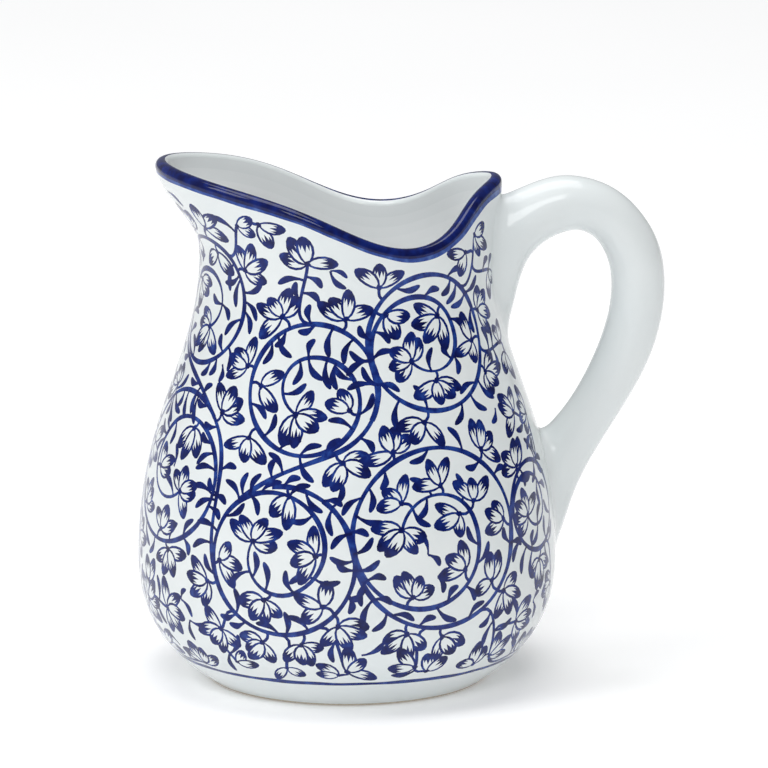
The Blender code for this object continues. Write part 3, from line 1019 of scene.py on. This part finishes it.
def make_handle():
    """The rod and its two joints: one smooth skin in three pieces."""
    rod, upper_end, lower_end = handle_grid()
    up_rows, up_sunk, up_normal, up_middle = upper_end
    low_rows, low_sunk, low_normal, low_middle = lower_end
    grid = np.concatenate([up_rows[::-1], rod, low_rows])
    around = np.roll(grid, -1, axis=1) - np.roll(grid, 1, axis=1)
    normals = unit(np.cross(around, np.gradient(grid, axis=0)))
    half = len(grid) // 2
    if np.sum((grid[half] - grid[half].mean(0)) * normals[half]) < 0:
        normals = -normals
    normals[0], normals[-1] = up_normal, low_normal
    a, b = len(up_rows), len(up_rows) + len(rod)

    def tucked(row, towards):
        """The rod's end row again, a little narrower and a little way into the joint."""
        middle = row.mean(0)
        return row + (middle - row) * 0.06 + (towards - middle) * 0.08

    def in_the_wall(middle):
        return inside_wall(np.array(0.0), np.array(middle[2]), np.array(1.9))

    rod_rows = np.concatenate([[tucked(rod[0], up_middle)], rod, [tucked(rod[-1], low_middle)]])
    rod_normals = np.concatenate([[normals[a]], normals[a:b], [normals[b - 1]]])
    upper = np.concatenate([[up_sunk], grid[:a + 1]])
    upper_normals = np.concatenate([[up_normal], normals[:a + 1]])
    lower = np.concatenate([grid[b - 1:], [low_sunk]])
    lower_normals = np.concatenate([normals[b - 1:], [low_normal]])
    return (tube("handle_rod_porcelain", rod_rows, rod_normals, (rod_rows[0].mean(0), rod_rows[-1].mean(0))),
            tube("upper_joint_porcelain", upper, upper_normals, (in_the_wall(up_middle), upper[-1].mean(0))),
            tube("lower_joint_porcelain", lower, lower_normals, (lower[0].mean(0), in_the_wall(low_middle))))


# ---- materials

class Shading:
    """A material on the object's own coordinates, and the nodes that feed its shader."""

    def __init__(self, name):
        self.material = bpy.data.materials.new(name)
        self.material.use_nodes = True
        self.shader = self.material.node_tree.nodes["Principled BSDF"]
        self.place = self.add("ShaderNodeTexCoord").outputs["Object"]

    def add(self, kind, inputs=None, **settings):
        return add_node(self.material.node_tree, kind, inputs, **settings)

    def feed(self, label, socket):
        self.material.node_tree.links.new(socket, self.shader.inputs[label])

    def set(self, **values):
        for label, value in values.items():
            self.shader.inputs[label.replace("_", " ")].default_value = value

    def stored(self, name):
        return self.add("ShaderNodeAttribute", attribute_name=name).outputs["Fac"]

    def noise(self, size, detail=2.0):
        """Noise whose features are about this many millimetres across."""
        inputs = {"Vector": self.place, "Scale": 1 / (size * MM), "Detail": detail}
        return self.add("ShaderNodeTexNoise", inputs).outputs["Fac"]

    def ramp(self, value, stops):
        node = self.add("ShaderNodeValToRGB", {"Fac": value})
        elements = node.color_ramp.elements
        while len(elements) < len(stops):
            elements.new(0.5)
        for element, (position, colour) in zip(elements, stops):
            element.position = position
            element.color = (*colour, 1.0)
        return node.outputs["Color"]

    def math(self, operation, a, b, clamp=False):
        return self.add("ShaderNodeMath", {0: a, 1: b}, operation=operation, use_clamp=clamp).outputs[0]

    def mix(self, share, a, b):
        """Colour a, or b by this share."""
        return self.add("ShaderNodeMix", {0: share, 6: a, 7: b}, data_type="RGBA").outputs[2]

    def glaze(self):
        """Clear glossy glaze with a very faint wave in it."""
        self.set(Roughness=0.07, IOR=1.52, Specular_IOR_Level=0.29)
        wave = {"Height": self.noise(14.0, 1.0), "Strength": 0.5, "Distance": 0.06 * MM}
        self.feed("Normal", self.add("ShaderNodeBump", wave).outputs[0])

    def porcelain(self):
        """The white body under clear glaze: faint cool clouds and a few dark iron specks."""
        cloud = self.ramp(self.noise(22.0, 3.0), ((0.3, (0.755, 0.80, 0.805)), (0.7, (0.795, 0.83, 0.83))))
        speck = self.add("ShaderNodeTexVoronoi", {"Vector": self.place, "Scale": 1 / (13.0 * MM)})
        dot = self.math("LESS_THAN", speck.outputs["Distance"], 0.012)
        return self.mix(dot, cloud, (0.30, 0.27, 0.24, 1))


COBALT = ((0.30, (0.12, 0.22, 0.50)), (0.55, (0.018, 0.062, 0.30)), (0.74, (0.003, 0.015, 0.15)),
          (1.0, (0.001, 0.0035, 0.060)))              # from a thin wash to a full brush
CLAY = ((0.3, (0.52, 0.45, 0.35)), (0.7, (0.66, 0.60, 0.50)))
INSIDE_PAINTED_LIGHT_WHITE = (0.935, 0.955, 0.96, 1.0)                # painted light: a much brighter white than the outside's, painted on the inside to lift its shade


def painted_material():
    m = Shading("painted_porcelain")
    m.glaze()
    # painted light: the inside is mixed towards a much brighter white to lift its shade
    white = m.mix(m.stored("inner"), m.porcelain(), INSIDE_PAINTED_LIGHT_WHITE)
    white = m.mix(m.stored("bare"), white, m.ramp(m.noise(0.7, 3.0), CLAY))
    ink = m.stored("ink")
    pooling = m.math("ADD", m.math("MULTIPLY", m.noise(1.9, 1.0), 0.72),
                     m.math("MULTIPLY", m.noise(0.5, 1.0), 0.14))
    load = m.math("MULTIPLY", ink, m.math("ADD", pooling, 0.46), clamp=True)
    m.feed("Base Color", m.mix(m.math("GREATER_THAN", ink, 0.02), white, m.ramp(load, COBALT)))
    return m.material


def plain_material(name):
    m = Shading(name)
    m.glaze()
    m.feed("Base Color", m.porcelain())
    return m.material


def floor_material():
    m = Shading("pale_floor")
    m.feed("Base Color", m.ramp(m.noise(300.0), ((0.3, (0.90, 0.90, 0.90)), (0.7, (0.93, 0.93, 0.93)))))
    m.set(Roughness=0.6, Specular_IOR_Level=0.2, Emission_Color=(1.0, 1.0, 1.0, 1.0), Emission_Strength=0.20)
    return m.material


# ---- studio

def make_floor():
    bpy.ops.mesh.primitive_grid_add(x_subdivisions=2, y_subdivisions=2, size=14.0, location=(0, 0, -0.0001))
    floor = bpy.context.object
    floor.name = "studio_floor"
    floor.data.materials.append(floor_material())


def softbox(name, location, target, size, power):
    data = bpy.data.lights.new(name, "AREA")
    data.shape = "RECTANGLE"
    data.size, data.size_y = size
    data.energy = power
    light = bpy.data.objects.new(name, data)
    bpy.context.scene.collection.objects.link(light)
    light.location = location
    light.rotation_euler = (Vector(target) - Vector(location)).to_track_quat("-Z", "Y").to_euler()


def make_studio():
    """A white tent, brighter on the spout's side, with two softboxes and a wide panel overhead."""
    make_floor()
    world = bpy.data.worlds.new("white_tent")
    world.use_nodes = True
    bpy.context.scene.world = world
    tree = world.node_tree
    direction = add_node(tree, "ShaderNodeTexCoord").outputs["Generated"]
    across = add_node(tree, "ShaderNodeSeparateXYZ", {0: direction}).outputs["X"]
    shade = add_node(tree, "ShaderNodeMapRange", {0: across, 1: -0.9, 2: 0.9, 3: 0.40, 4: 0.16}).outputs[0]
    background = tree.nodes["Background"]
    tree.links.new(shade, background.inputs["Strength"])
    background.inputs["Color"].default_value = (0.97, 0.985, 1.0, 1)
    softbox("front_softbox", (-0.13, -0.94, 0.79), (0, 0, 0.05), (0.50, 0.36), 3.1)
    softbox("left_softbox", (-0.85, -0.30, 1.00), (0, 0, 0.05), (0.50, 0.50), 3.9)
    softbox("ceiling_panel", (0.0, 0.3, 3.0), (0, 0.3, 0), (2.2, 2.2), 57.0)
    bpy.context.scene.view_settings.view_transform = "Standard"


VIEW_TURN = radians(8.0)          # the camera stands this far round from straight in front
VIEW_RISE = radians(12.2)
VIEW_DISTANCE = 1.4
VIEW_SIDE, VIEW_HEIGHT = 7.64, 60.6     # what it looks at, from the body's axis and the table
LENS, SENSOR = 319.3, 36.0


def make_camera():
    data = bpy.data.cameras.new("studio_camera")
    data.sensor_width, data.lens = SENSOR, LENS
    data.clip_start, data.clip_end = 0.05, 30.0
    camera = bpy.data.objects.new("studio_camera", data)
    bpy.context.scene.collection.objects.link(camera)
    back = Vector((-cos(VIEW_RISE) * sin(VIEW_TURN), -cos(VIEW_RISE) * cos(VIEW_TURN), sin(VIEW_RISE)))
    aim = MM * Vector((AXIS_X + VIEW_SIDE * cos(VIEW_TURN), -VIEW_SIDE * sin(VIEW_TURN), VIEW_HEIGHT))
    camera.location = aim + back * VIEW_DISTANCE
    camera.rotation_euler = (-back).to_track_quat("-Z", "Y").to_euler()
    bpy.context.scene.camera = camera


# ---- putting it together

make_camera()
make_studio()
painted = painted_material()
plain = plain_material("white_porcelain")

body = make_body(painted)
body.data.materials.append(painted)
rod, upper_joint, lower_joint = make_handle()
for piece in (rod, upper_joint, lower_joint):
    piece.data.materials.append(plain)

for piece, node, slot in ((body, "jug_body", "body_porcelain"), (rod, "handle", "handle_porcelain"),
                          (upper_joint, "upper_handle_slip", "handle_porcelain"),
                          (lower_joint, "lower_handle_slip", "handle_porcelain")):
    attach(piece, "root")
    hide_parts(node)
